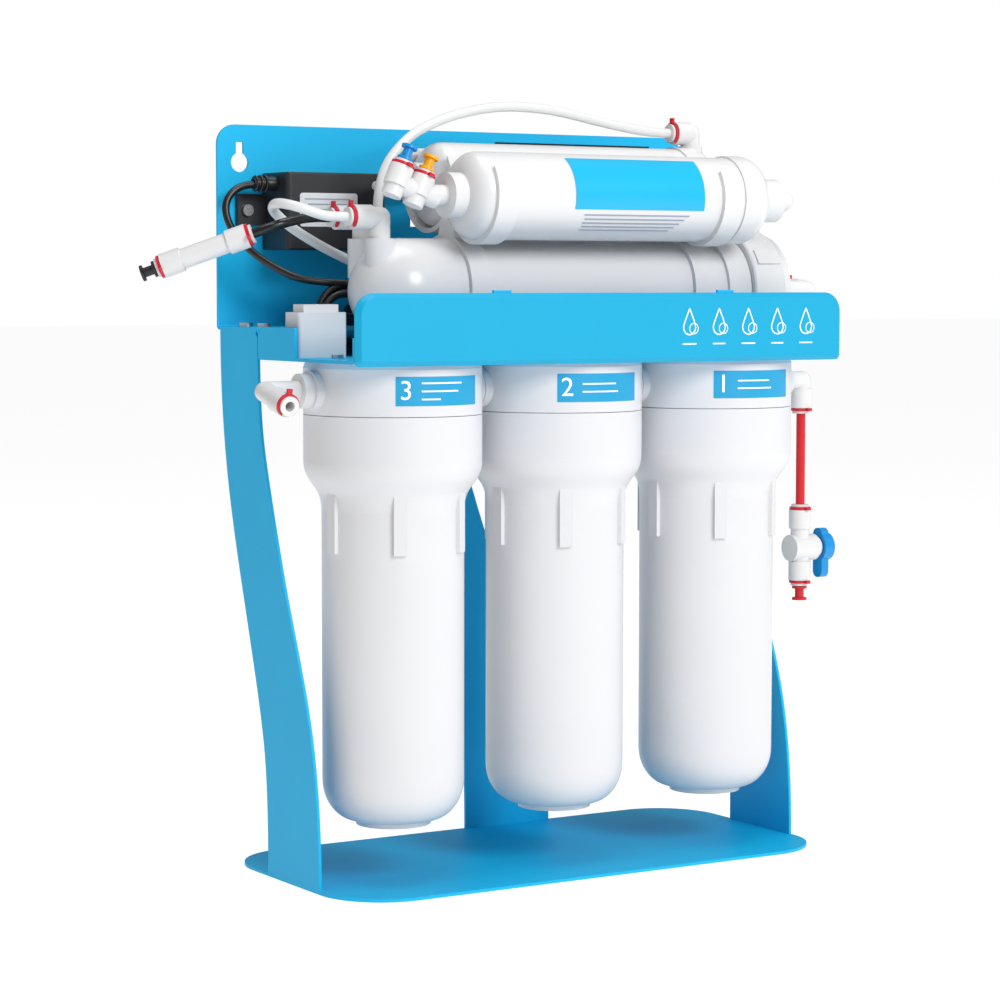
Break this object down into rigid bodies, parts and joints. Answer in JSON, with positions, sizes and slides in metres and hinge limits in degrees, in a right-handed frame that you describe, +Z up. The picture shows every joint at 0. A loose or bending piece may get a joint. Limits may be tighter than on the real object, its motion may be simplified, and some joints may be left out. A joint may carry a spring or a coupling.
{
  "type": "reverse osmosis unit",
  "caption": "Reverse osmosis water unit: canister housings under a tray, membrane and in-line filters above it, on a folded sheet stand.",
  "frame": {"origin": "centre of the base plate's underside", "axes": "+X to the right, +Y to the back panel, +Z up"},
  "size_m": [0.4936, 0.2801, 0.5028],
  "materials": {
    "stand_enamel": "satin blue powder coat on folded steel sheet",
    "cover_enamel": "satin cyan moulded cover",
    "housing_plastic": "white moulded polypropylene",
    "membrane_plastic": "white glossy moulded plastic",
    "fitting_plastic": "white acetal",
    "tube_white": "white polyethylene tube",
    "tube_black": "black polyethylene tube",
    "tube_red": "red polyethylene tube and plug",
    "clip_red": "red moulded locking clips",
    "plug_blue": "blue moulded plug and lever",
    "plug_yellow": "yellow moulded plug",
    "black_plastic": "black moulded plastic",
    "lead_sheath": "black flexible cable sheath",
    "rubber": "black rubber",
    "zinc_steel": "bright plated steel",
    "cartridge_media": "white filter media"
  },
  "bodies": {
    "unit": {"base_plate": "stand_enamel", "carbon_filter": "membrane_plastic", "check_valve_union": "fitting_plastic", "collets": "fitting_plastic", "feed_valve_body": "fitting_plastic", "filter_cartridges": "cartridge_media", "filter_elbows": "fitting_plastic", "filter_end_caps": "membrane_plastic", "filter_heads": "housing_plastic", "front_cover": "cover_enamel", "head_elbows": "fitting_plastic", "lead_dc": "lead_sheath", "lead_hank": "lead_sheath", "lead_tie": "black_plastic", "leg_left": "stand_enamel", "leg_rear": "stand_enamel", "leg_right": "stand_enamel", "link_nipples": "fitting_plastic", "locking_clips": "clip_red", "main_frame": "stand_enamel", "mains_lead": "lead_sheath", "mains_plug": "black_plastic", "membrane_elbow": "fitting_plastic", "membrane_element": "cartridge_media", "membrane_housing": "membrane_plastic", "mineral_filter": "membrane_plastic", "mineral_tee": "fitting_plastic", "motor_bearings": "zinc_steel", "motor_case": "zinc_steel", "motor_magnets": "zinc_steel", "port_elbows": "fitting_plastic", "power_adapter": "black_plastic", "pump_bracket": "black_plastic", "pump_diaphragm": "rubber", "pump_grommets": "rubber", "pump_head": "black_plastic", "pump_saddle": "black_plastic", "screws": "zinc_steel", "shutoff_cover": "fitting_plastic", "shutoff_diaphragm": "rubber", "shutoff_valve": "fitting_plastic", "strain_relief": "lead_sheath", "sump_seals": "rubber", "switch_base": "fitting_plastic", "switch_cover": "fitting_plastic", "tube_drain": "tube_black", "tube_feed": "tube_red", "tubes_white": "tube_white", "twin_clips": "membrane_plastic"},
    "lever": {"feed_valve_lever": "plug_blue", "feed_valve_ball": "zinc_steel"},
    "sump_first": {"sump_1": "housing_plastic"},
    "sump_second": {"sump_2": "housing_plastic"},
    "sump_third": {"sump_3": "housing_plastic"},
    "cap": {"membrane_cap": "membrane_plastic"},
    "stopper_blue": {"plug_blue": "plug_blue"},
    "stopper_yellow": {"plug_yellow": "plug_yellow"},
    "stopper_black": {"plug_black": "black_plastic"},
    "stopper_red": {"plug_red": "tube_red"},
    "rotor": {"motor_rotor": "zinc_steel"}
  },
  "joints": [
    {"name": "feed_valve_lever", "type": "hinge", "parent": "unit", "child": "lever", "pos_m": [0.2035, -0.029, 0.1995], "axis": [1, 0, 0], "range_deg": [0, 90]},
    {"name": "sump_1_unscrew", "type": "hinge", "parent": "unit", "child": "sump_first", "pos_m": [0.123, -0.029, 0.2], "axis": [0, 0, 1], "range_deg": [0, 350]},
    {"name": "sump_2_unscrew", "type": "hinge", "parent": "unit", "child": "sump_second", "pos_m": [0, -0.029, 0.2], "axis": [0, 0, 1], "range_deg": [0, 350]},
    {"name": "sump_3_unscrew", "type": "hinge", "parent": "unit", "child": "sump_third", "pos_m": [-0.123, -0.029, 0.2], "axis": [0, 0, 1], "range_deg": [0, 350]},
    {"name": "membrane_cap_unscrew", "type": "hinge", "parent": "unit", "child": "cap", "pos_m": [0.17, -0.012, 0.3785], "axis": [1, 0, 0], "range_deg": [0, 350]},
    {"name": "plug_blue_slide", "type": "slide", "parent": "unit", "child": "stopper_blue", "axis": [0.4067, 0, 0.9135], "range_m": [0, 0.014]},
    {"name": "plug_yellow_slide", "type": "slide", "parent": "unit", "child": "stopper_yellow", "axis": [0.4067, 0, 0.9135], "range_m": [0, 0.014]},
    {"name": "plug_black_slide", "type": "slide", "parent": "unit", "child": "stopper_black", "axis": [-0.7977, 0.4988, -0.3389], "range_m": [0, 0.014]},
    {"name": "plug_red_slide", "type": "slide", "parent": "unit", "child": "stopper_red", "axis": [0, 0, -1], "range_m": [0, 0.014]},
    {"name": "pump_rotor_spin", "type": "hinge", "parent": "unit", "child": "rotor", "pos_m": [0.068, 0.141, 0.441], "axis": [1, 0, 0], "continuous": true}
  ]
}
